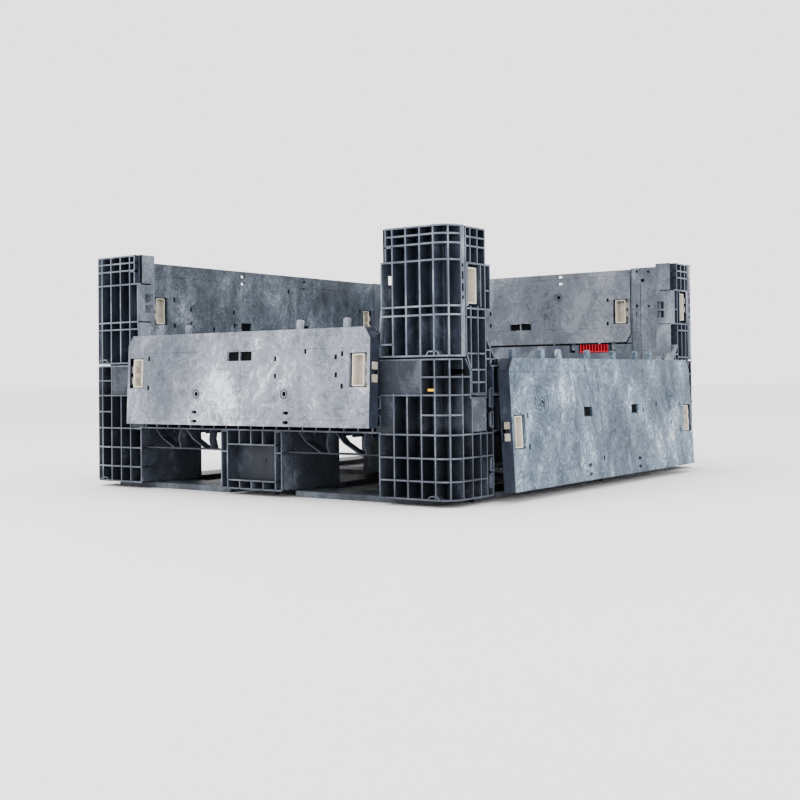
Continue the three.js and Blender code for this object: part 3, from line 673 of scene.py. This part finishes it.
def side_door_shape():
    """The side door, drawn closed in the right wall: u is y, v is z, and depth grows towards +x."""
    half, low, high, inner, outer, hinge = SIDE_DOOR
    outline = [(-half, 352), (-half + 19, low), (half - 19, low), (half, 352), (half, high), (-half, high)]
    skin = Solid().prism(outline, "x", inner, inner + SKIN)
    holes = Solid()
    dark = []

    def cut(u, s, wide, tall):
        z = hinge + s
        holes.box((inner - 1, inner + SKIN + 1), span(u, wide), span(z, tall))
        if wide < 50:
            dark.append((u, s, wide, tall))

    for u in (-146.5, 134.5):
        cut(u, 131, 46, 25)
    for u, s in [(-458, 130), (-455, 205), (-375, 106), (188, 134), (192, 176), (278, 120), (375, 134),
                 (376, 178), (443, 127), (445, 204), (-69, 255)]:
        cut(u, s, 8, 13)
    for u in (-497, 497):
        cut(u, 168, 50, 80)
    for side in (-1, 1):
        for s in (268, 291):
            holes.round((side * 149, hinge + s), 4.5, "x", inner - 1, inner + SKIN + 1, stretch=10)
        holes.round((side * 384, hinge + 100), 5, "x", inner - 1, inner + SKIN + 1)
        dark.append((side * 384, 100, 10, 10))
    for s in (270, 62, 27):
        z = hinge + s
        holes.box((inner - 1, inner + 0.9), (-half + 8, half - 8), span(z, GROOVE))
    made = build(skin)
    carve(made, holes)

    rest = Solid()
    for u, s in [(-384, 184), (-240, 176), (60, 200), (262, 214), (10, 96)]:
        rest.ring((u, hinge + s), 9.5, 8, "x", inner - 0.7, inner)
    for side in (-1, 1):
        for radius, paint in [(12, EDGE), (22, PLAIN), (34, PLAIN)]:
            rest.paint = paint
            rest.ring((side * 384, hinge + 100), radius, radius - 2.2, "x", inner - 1, inner)
    rim, lattice, housing = (inner + 5, outer), (inner + 5, outer - 1), (inner + 1, outer - 1)
    # Rim, rib lattice and latch housings behind the skin, in the dark material: painted shade.
    rest.paint = EDGE
    rest.box(rim, (-half + 0.4, -half + RIB), (353, 471))
    rest.box(rim, (half - RIB, half - 0.4), (353, 471))
    slant = [(-half, 352), (-half + 19, low), (-half + 24, low), (-half + RIB, 354)]
    for s in (-1, 1):
        rest.box(rim, (s * (half - 0.4), s * (half - RIB)), (518, high - 0.4))
        rest.box((outer - 3, outer), (s * (half - 0.4), s * (half - RIB)), (470, 520))
        rest.prism(flipped(slant, s), "x", inner + 5, outer)
    rest.box(rim, (-half + 1, half - 1), (high - RIB, high - 0.4))
    rest.box(rim, (-half + 19, half - 19), (low, low + RIB))
    for y in [0] + [s * y for y in (30, 66, 102, 167, 205, 246, 287, 328, 369, 410, 451) for s in (1, -1)]:
        rest.box(lattice, span(y, 3.2), (low + 1, high - 1))
    for z in (372, 422, 472, 522, 572, 612):
        rest.box(lattice, (-469, 469), span(z, 3.2))
    for s in (-1, 1):
        rest.box((inner + 23, outer - 1), (s * 468, s * 525), (456, 538))
        rest.box(housing, (s * 469, s * 471), (454, 540))
        for z0, z1 in [(454, 471), (490, 498), (518, 540)]:
            rest.box(housing, (s * 523, s * 525), (z0, z1))
        for z in (455, 539):
            rest.box(housing, (s * 470, s * 524), span(z, 2))
    # Near-black plugs behind the small holes and windows: painted shade.
    rest.paint = RECESS
    for u, s, wide, tall in dark:
        z = hinge + s
        sunk = 7 if wide > 30 else 3
        rest.box((inner + sunk, inner + SKIN + 6), span(u, wide - 0.6),
                 span(z, tall - 0.6))
    rest.paint = PLAIN
    for a, b in SIDE_TABS:
        rest.prism(tongue(a, b, low + 6, 299), "x", inner + 13, inner + 23)
        rest.box((inner + 5, inner + 23), (a, b), (low, low + 10))
    for y in (130, -130, 380, -380):
        rest.round((602, hinge), 7, "y", y - 20, y + 20, 16)
        rest.box((outer - 1, 602), span(y, 40), span(hinge, 12))
    return made, build(rest)


def merge(first, second):
    """Joins the second object's mesh into the first."""
    with bpy.context.temp_override(active_object=first, selected_editable_objects=[first, second]):
        bpy.ops.object.join()
    return first


def latch_cup(axis, us, zs, face, depth, bolts, bolt_us, bolt_depth):
    """A slide latch: a cup to pull with a finger, and two bolts. depth is signed, going into the door."""
    cup = Solid()
    (u0, u1), (z0, z1) = us, zs
    step = math.copysign(1, depth)
    back = face + depth

    def put(ur, dr, zr):
        if axis == "y":
            cup.box(ur, dr, zr)
        else:
            cup.box(dr, ur, zr)

    put((u0, u0 + 3.5), (face, back), (z0, z1))
    put((u1 - 3.5, u1), (face, back), (z0, z1))
    put((u0 + 1, u1 - 1), (face, back), (z0, z0 + 3.5))
    put((u0 + 1, u1 - 1), (face, back), (z1 - 3.5, z1))
    # The cup's back and the bolts take the darker beige: painted shade.
    cup.paint = EDGE
    put((u0 + 1, u1 - 1), (back - 4 * step, back), (z0 + 1, z1 - 1))
    for low, high in bolts:
        put(bolt_us, (face + bolt_depth[0] * step, face + bolt_depth[1] * step), (low, high))
    return cup


# ---- side walls -----------------------------------------------------------------------------
SIDE_RIBS = [591.5, 621.5]  # the ones that stop at the latch recess
SIDE_LEVELS = [TOP - 3, 614, 593, 554, 450, 430, 347, 310, 281, 255]
SIDE_TABS = [span(y, 18) for y in (-482, -344, -257, -100, 52, 193, 288)]
SIDE_SILL = 321
SIDE_LUGS = [0, 260, -260, 500, -500]
SIDE_LUG = [(-9, 9, 3), (-9, -6, 15.5), (6, 9, 15.5)]
COLUMN_END = 643
KNUCKLES = [120, 360, 560]


def side_wall():
    wall = Solid()
    face, inner = SIDE, SIDE_IN
    deep = (inner + 12, face)
    for s in (1, -1):
        # Inner skin of the column, with its foot narrowed to pass the base.
        skin = [(537, 268), (622, 268), (622, 310), (COLUMN_END, 346), (COLUMN_END, TOP - 1), (537, TOP - 1)]
        for low, high in reversed(SIDE_BOLTS):
            skin += [(537, high + 2), (543, high + 2), (543, low - 2), (537, low - 2)]
        wall.prism(flipped(skin, s), "x", inner, inner + 14)
        wall.box(deep, (s * 557.5, s * 561.5), (254, TOP - 1))
        for y in SIDE_RIBS:
            for low, high in [(254, 456), (553, TOP - 1)]:
                wall.box(deep, span(s * y), (low, high))
        slots = [(inner + 30, face - 3, low - 1, high + 1) for low, high in CORNER_BOLTS]
        wall.plate((inner, face), (347, TOP - 1), "y", s * (COLUMN_END - 4), s * COLUMN_END, slots)
        foot = [(COLUMN_END, 346), (COLUMN_END - 4, 350), (621, 313), (624, 310)]
        wall.prism(flipped(foot, s), "x", inner, face)
        for z in SIDE_LEVELS:
            start = 536 if z in (450, 554) else 557.5
            stop = COLUMN_END if z >= 347 else 623.5
            wall.box(deep, (s * start, s * stop), span(z))
        # Flange beside the opening: proud at the latch box, set back elsewhere.
        jamb = [(inner + 4, inner + 25, low - 2, high + 2) for low, high in SIDE_BOLTS]
        wall.plate((inner, face - 13), (338, TOP - 1), "y", s * 536, s * 540, jamb)
        wall.box((face - 14, face), (s * 536, s * 540), (450, 556))
        wall.box(deep, (s * 543, s * 560), (492, 496))
        for z in (614, 593, 430, 408):
            wall.box((inner + 12, face - 13), (s * 538, s * 558), span(z))
        # Latch recess.
        wall.box((face - 38, face - 34), (s * 578, s * 641), (456, 553))
        wall.box((face - 36, face), (s * 576, s * 580), (454, 555))
        wall.box((face - 4.3, face - 0.5), (s * 630.5, s * 641), (455, 554))
        # Gusset down to the sill.
        gusset = [(560, 389), (560, 384), (522, 335), (516, 335)]
        wall.prism(flipped(gusset, s), "x", inner + 33.5, face)
        wall.prism(flipped([(560, 384), (538, 356), (528, 335), (560, 335)], s), "x", inner, inner + 12)
        for z in (356, 335):
            start = 522 + (z - 338) * 38 / 49
            wall.box((inner + 33.5, face), (s * start, s * 560), span(z))
            wall.box((inner + 12, face - 25), (s * (start + 6), s * 560), span(z))
        wall.box(deep, (s * 538, s * 542), (322, 362))
        chamfer = [(537, 352), (516, SIDE_SILL - 1), (537, SIDE_SILL - 1)]
        wall.prism(flipped(chamfer, s), "x", inner, inner + 20)
    notch = [(a - 3, b + 3, 294, 322) for a, b in SIDE_TABS]
    notch += [(s * y - 32, s * y + 32, 250, 269) for y in KNUCKLES for s in (1, -1)]
    notch += [(*pair(s, 537, 625), 268, 330) for s in (1, -1)]
    wall.plate((-624, 624), (252, SIDE_SILL), "x", inner, inner + 14, notch)
    top_notch = [(inner - 1, inner + 29, a - 3, b + 3) for a, b in SIDE_TABS]
    wall.plate((inner, face), (-538, 538), "z", SIDE_SILL - 4, SIDE_SILL, top_notch)
    bottom_notch = [(inner - 1, inner + 18, s * y - 32, s * y + 32) for y in KNUCKLES for s in (1, -1)]
    wall.plate((inner, face), (-624, 624), "z", 252, 256, bottom_notch)
    for i in range(25):
        y = -528 + 44 * i
        wall.box((inner + 31, face), span(y), (253, SIDE_SILL - 1))
    for low, high in [(-514, -403), (-357, -153), (-107, 107), (153, 357), (403, 514)]:
        wall.box((face - 26.5, face - 24.5), (low, high), (SIDE_SILL - 2, 326.5))
    wall.box((face - 30, face - 27), (-538, 538), (254, SIDE_SILL - 2))
    for y in SIDE_LUGS:
        for low, high, deep in SIDE_LUG:
            wall.box((face - 0.5 - deep, face - 0.5), (y + low, y + high), (SIDE_SILL - 1, 336))
    return wall


# ---- base -----------------------------------------------------------------------------------
BLOCK_LEVELS = [17, 58, 110, 163]
SIDE_POCKET = 480
MIDDLE = 104.8
SIDE_MIDDLE = 110
FLOOR = 177
END_RIM = 336
SIDE_RIM = 248


def end_face_cells(base, s, e):
    """Ribs of one corner block, on the end face, round the corner and on the side face."""
    face = e * END
    back = e * (END - 44)
    deep = (s * (SIDE - 44), s * SIDE)
    for x in (449, 487, 526):
        base.box(span(s * x), (face, back), (15, 257))
    base.box(span(s * 526), (face, back), (255, END_RIM))
    base.box(span(s * ARC_X), (face, back), (15, END_RIM))
    base.box((s * POCKET, s * (POCKET + 4)), (face, e * SIDE_POCKET), (15, DECK))
    corner_post(base, s, -e, 15, END_RIM)
    base.box(deep, span(e * ARC_Y), (15, 312))
    base.box(deep, span(e * ARC_Y), (300, END_RIM))
    for z in (294, 208):
        corner_shelf(base, s, -e, 526, z)
    for z in (253, END_RIM - 2):
        corner_shelf(base, s, -e, 411, z)
    for z in BLOCK_LEVELS:
        corner_shelf(base, s, -e, POCKET, z, side_stop=-532)
    for y in (532, 558, 586, 621):
        base.box(deep, span(e * y), (15, 167 if 540 < y < 600 else SIDE_RIM))
    # Backs of the cells.
    core = [(POCKET + 2, -END + 42), (ARC_X - 2, -END + 42), (ARC_X + 6, -ARC_Y - 4), (SIDE - 42, -ARC_Y),
            (SIDE - 42, -SIDE_POCKET), (POCKET + 2, -SIDE_POCKET)]
    base.prism(flipped(core, s, -e), "z", 16, DECK)
    base.box((s * 411, s * (SIDE - 34)), (e * (END - 42), e * END_IN), (DECK - 1, END_RIM))
    base.box((s * (SIDE - 44), s * (SIDE - 34)), (e * 645, e * (ARC_Y + 10)), (DECK - 1, END_RIM))
    base.box((s * (SIDE - 46), s * (SIDE - 40)), (e * 480, e * 650), (DECK - 1, SIDE_RIM))
    # Smooth plate with the marker's open cell beside it, and a smooth plate on the side face.
    base.box((s * 396, s * 526), (e * (END - 1), e * (END - 5)), (256, END_RIM - 3))
    base.box((s * 396, s * 448), (e * (END - 2), e * (END - 5)), (166, 256))
    base.box((s * (SIDE - 5), s * SIDE), (e * 560, e * 619), (168, 245))
    # Half-round foot notch rim.
    base.strip([(s * 540, 17), (s * 548, 25), (s * 567, 25), (s * 575, 17)], 3, (face, e * (END - 20)))


def small_frame(base, s, e, low, high):
    """A raised slot frame beside the end door."""
    face = e * END
    x0, x1 = 396, 411
    for x in (x0 + 1.5, x1 - 1.5):
        base.box(span(s * x, 3), (face, e * (END - 8)), (low, high))
    for z in (low + 1.5, high - 1.5):
        base.box((s * x0, s * x1), (face, e * (END - 8)), span(z, 3))
    # Near-black plate in the slot: painted shade.
    base.paint = RECESS
    base.box((s * (x0 + 3), s * (x1 - 3)), (e * (END - 0.8), e * (END - 9)), (low + 3, high - 3))
    base.paint = PLAIN


def pallet():
    base = Solid()
    base.box((-SIDE_IN - 4, SIDE_IN + 4), (-END_IN - 4, END_IN + 4), (DECK, FLOOR))
    for e in (1, -1):
        deep, shallow = (e * END, e * (END - 42)), (e * END, e * (END_IN + 6))
        for s in (1, -1):
            end_face_cells(base, s, e)
            for low, high in [(221, 250), (178, 207)]:
                small_frame(base, s, e, low, high)
        # End wall of the tray, ribbed outside.
        base.box((-412, 412), (e * END_IN, e * (END_IN + 12)), (DECK, END_RIM))
        for z in (DECK + 1, 250, END_RIM - 2):
            base.box((-412, 412), shallow, span(z))
        for i in range(-9, 10):
            base.box(span(43 * i), shallow, (DECK, END_RIM - 1))
        # Centre block of the end face.
        for x in (MIDDLE - 2, 82):
            for s in (1, -1):
                base.box(span(s * x), (e * END, e * (END - 41)), (15, DECK))
        for z in (17, 38, 129):
            base.box((-84, 84), deep, span(z))
        for z in (17, 110, 163):
            for s in (1, -1):
                base.box((s * 82, s * MIDDLE), deep, span(z))
        for x in (-40, 0, 40):
            base.box(span(x), deep, (130, DECK))
            base.box(span(x), deep, (15, 38))
        base.plate((-84, 84), (39, 129), "y", e * (END - 33), e * (END - 37), [(19.5, 24.5, 85, 90)])
        base.box((-MIDDLE, MIDDLE), (e * (END - 42), e * SIDE_POCKET), (16, DECK))
        # Web over each fork opening.
        ys = (e * (END - 14), e * (END - 40))
        for s in (1, -1):
            base.box((s * (MIDDLE - 1), s * (POCKET + 1)), ys, (110.5, 114.5))
        bow = [(-108, 163), (-84, 139), (-52, 122), (-38, 114)]
        webs = [bow, [(x + 118, z) for x, z in bow]]
        webs += [[(-13, 163), (-19, 138), (-12, 114)], [(99, 163), (95, 138), (102, 114)]]
        for middle in (-255, 255):
            for web in webs:
                base.strip([(middle + x, z) for x, z in web], RIB, ys)
    for s in (1, -1):
        # Side wall of the tray.
        deep, shallow = (s * (SIDE - 42), s * SIDE), (s * (SIDE_IN + 6), s * SIDE)
        base.box((s * SIDE_IN, s * (SIDE_IN + 12)), (-END_IN, END_IN), (DECK, SIDE_RIM - 0.5))
        for z in (DECK + 1, SIDE_RIM - 2.5):
            base.box(shallow, (-534, 534), span(z))
        base.box((s * SIDE_IN, s * SIDE), (-626, 626), (SIDE_RIM - 4.5, SIDE_RIM - 0.5))
        for i in range(-11, 12):
            y = 46 * i
            base.box(shallow, span(y), (DECK, SIDE_RIM - 1))
        for z in BLOCK_LEVELS:
            base.box(deep, (-SIDE_MIDDLE, SIDE_MIDDLE), span(z))
        for y in (-108, -54, 0, 54, 108):
            base.box(deep, span(y), (15, DECK))
        base.box((s * (SIDE - 42), s * POCKET), (-SIDE_MIDDLE, SIDE_MIDDLE), (16, DECK))
        for e in (1, -1):
            for low, high in [(222, 268), (176, 212), (34, 70), (74, 106)]:
                for y0, y1, z0, z1 in [(539, 542, low, high), (553, 556, low, high),
                                       (539, 556, low, low + 3), (539, 556, high - 3, high)]:
                    base.box((s * (SIDE - 2), s * (SIDE + 6)), (e * y0, e * y1), (z0, z1))
                base.box((s * (SIDE - 2), s * (SIDE + 2)), (e * 539, e * 556), (low, high))
            for y in KNUCKLES:
                base.box((s * (SIDE_IN + 0.5), s * (SIDE_IN + 4)), span(e * y, 60), (SIDE_RIM - 2, 265))
                for rib in (e * y - 28, e * y - 9, e * y + 9, e * y + 28):
                    base.box((s * (SIDE_IN + 0.5), s * (SIDE_IN + 13)), span(rib), (SIDE_RIM - 2, 264))
            # Sloped shoulder where the end wall's base wraps round to the side.
            shoulder = [(625, SIDE_RIM - 2), (625, 309), (645, END_RIM - 1), (648, END_RIM - 1),
                        (648, SIDE_RIM - 2)]
            base.prism(flipped(shoulder, e), "x", s * (SIDE_IN + 2), s * (SIDE_IN + 16))
            slope = [(625, 309), (645, END_RIM), (650, END_RIM), (627, 305)]
            base.prism(flipped(slope, e), "x", s * (SIDE_IN + 2), s * SIDE)
            base.box((s * (SIDE_IN + 2), s * SIDE), (e * 625, e * 629), (SIDE_RIM - 4, 308))
            for z in (294, 253):
                base.box(shallow, (e * 627, e * ARC_Y), span(z))
    base.box((-MIDDLE, MIDDLE), (-SIDE_MIDDLE, SIDE_MIDDLE), (16, DECK))
    # Rib grid under the deck.
    for x in (-340, -280, -220, -160, 160, 220, 280, 340):
        base.box(span(x), (-END_IN, END_IN), (150, DECK))
    for y in (-400, -320, -240, -160, 160, 240, 320, 400):
        base.box((-SIDE_IN, SIDE_IN), span(y), (150, DECK))
    return base


# ---- making the pieces ----------------------------------------------------------------------
wall_materials = [frame_plain, frame_edge_wear_and_highlight, shadow_dark, frame_cell_painted_shade]
end_look = build(end_wall())
side_look = build(side_wall())
for made, name, body, matrix in [
    (end_look, "front_wall", "base", STILL),
    (copy_of(end_look), "rear_wall", "base", HALF_TURN),
    (side_look, "right_wall", "right_wall", STILL),
    (copy_of(side_look), "left_wall", "left_wall", HALF_TURN),
]:
    finish_piece(made, name + "_look", body, name + "_frame", wall_materials, matrix,
                 FINE, ribbed)

finish_piece(build(pallet()), "base_look", "base", "pallet_base",
             [base_plain, base_edge_wear_and_highlight, shadow_dark, base_cell_painted_shade], STILL, FINE, ribbed)

end_door = merge(*end_door_shape())
side_door = merge(*side_door_shape())
end_rim, side_rim = door_rim(END_DOOR[0], 0), door_rim(SIDE_DOOR[0], 1)
for made, side, material, matrix, kind in [
    (end_door, "front", front_panel, FRONT_OPEN, end_rim),
    (copy_of(end_door), "rear", rear_panel, HALF_TURN, end_rim),
    (side_door, "right", right_panel, RIGHT_OPEN, side_rim),
    (copy_of(side_door), "left", left_panel, HALF_TURN, side_rim),
]:
    finish_piece(made, side + "_door_look", side + "_door", side + "_drop_door",
                 [material, frame_cell_painted_shade, shadow_dark], matrix, SOFT, kind)


def place_latches(make, entries):
    for name, sign, matrix in entries:
        finish_piece(build(make(sign)), name + "_look", name, name,
                     [latch_beige, latch_shade], matrix, ROUND)


def end_latch(sign):
    return latch_cup("y", pair(sign, 357, 393), (463, 539), -END_IN - 3, -23,
                     END_BOLTS, pair(sign, 388, 412), (5, 28))


def side_latch(sign):
    return latch_cup("x", pair(sign, 480, 512), (459, 535), SIDE - 56, 18,
                     SIDE_BOLTS, pair(sign, 508, 532.5), (3, 19))


def wall_latch(sign):
    return latch_cup("x", pair(sign, 584, 629), (462, 546), SIDE - 8, -24,
                     CORNER_BOLTS, pair(sign, 626, 642.5), (-3, 19))


place_latches(end_latch, [
    ("front_door_latch_right", 1, FRONT_OPEN),
    ("front_door_latch_left", -1, FRONT_OPEN),
    ("rear_door_latch_left", 1, HALF_TURN),
    ("rear_door_latch_right", -1, HALF_TURN),
])
place_latches(side_latch, [
    ("right_door_latch_rear", 1, RIGHT_OPEN),
    ("right_door_latch_front", -1, RIGHT_OPEN),
    ("left_door_latch_front", 1, HALF_TURN),
    ("left_door_latch_rear", -1, HALF_TURN),
])
place_latches(wall_latch, [
    ("right_wall_latch_rear", 1, STILL),
    ("right_wall_latch_front", -1, STILL),
    ("left_wall_latch_front", 1, HALF_TURN),
    ("left_wall_latch_rear", -1, HALF_TURN),
])


def clip(start):
    """The comb that keeps a door's rod in its sill."""
    comb = Solid()
    inner = -END_IN
    comb.box((start, start + 51), (inner - 14, inner - 1), (369.5, 374))
    for i in range(5):
        x = start + 1.5 + 10.75 * i
        comb.box((x, x + 4.5), (inner - 13, inner - 1.5), (373, 396))
    # Near-black plate behind the teeth: painted shade in the gaps.
    comb.paint = RECESS
    comb.box((start + 0.5, start + 50.5), (inner - 14, inner - 12.5), (374, 395))
    return comb


for end, matrix in [("front", STILL), ("rear", HALF_TURN)]:
    for part, start in [("outer", -330.5), ("inner", -276.5)]:
        name = f"{end}_hinge_clip_{part}"
        finish_piece(build(clip(start)), name + "_look", "base", name,
                     [clip_red, clip_red, shadow_dark], matrix, SOFT)

tag = Solid()
tag.box((542, 561), (-END + 4, -END + 12), (262, 267.5))
finish_piece(build(tag), "marker_look", "base", "corner_marker", [marker_yellow],
             STILL, SOFT)

# Pieces whose CAD shape is already right keep it and take a finish.
for name, node in frame["nodes"].items():
    if name.endswith("rod") or name.startswith("runner"):
        node.data.materials.clear()
        node.data.materials.append(rod_metal if name.endswith("rod") else runner_dark)

# ---- floor, light and camera ----------------------------------------------------------------
floor_material = plastic("floor_paint",
    [(0.3, (238, 238, 239)), (0.5, (241, 241, 242)), (0.7, (244, 244, 244))],
    patch=0.6, weights=CALM, rough=(0.7, 0.8), grain=0.02)
bpy.ops.mesh.primitive_plane_add(size=60, location=(0, 0, -0.0005))
floor = bpy.context.object
floor.name = "floor"
floor.data.materials.append(floor_material)

world = bpy.data.worlds.new("studio")
bpy.context.scene.world = world
world.use_nodes = True
sky = world.node_tree.nodes["Background"].inputs
sky["Color"].default_value = (1, 1, 1, 1)
sky["Strength"].default_value = 2.5


def lamp(name, place, target, size, power):
    light = bpy.data.lights.new(name, "AREA")
    light.shape = "SQUARE"
    light.size = size
    light.energy = power
    made = bpy.data.objects.new(name, light)
    made.location = place
    made.rotation_euler = (Vector(target) - Vector(place)).to_track_quat("-Z", "Y").to_euler()
    bpy.context.scene.collection.objects.link(made)


lamp("key", (-1.6, -4.2, 2.6), (0, -0.2, 0.3), 2.2, 120)
lamp("fill", (4.4, -0.8, 2.2), (0.3, 0, 0.3), 2.5, 50)
lamp("top", (0, 0, 4.2), (0, 0, 0), 3.0, 60)

lens = bpy.data.cameras.new("view")
lens.sensor_width = 36
lens.lens = 53.5
lens.shift_y = -0.0625
camera = bpy.data.objects.new("view", lens)
bpy.context.scene.collection.objects.link(camera)
camera.location = (2.0734, -2.9117, 0.2943)
yaw, pitch, roll = (math.radians(v) for v in (36.03, 1.32, -0.66))
camera.matrix_world = (
    Matrix.Translation(camera.location)
    @ Matrix.Rotation(yaw, 4, "Z")
    @ Matrix.Rotation(math.pi / 2 + pitch, 4, "X")
    @ Matrix.Rotation(roll, 4, "Z")
)
bpy.context.scene.camera = camera
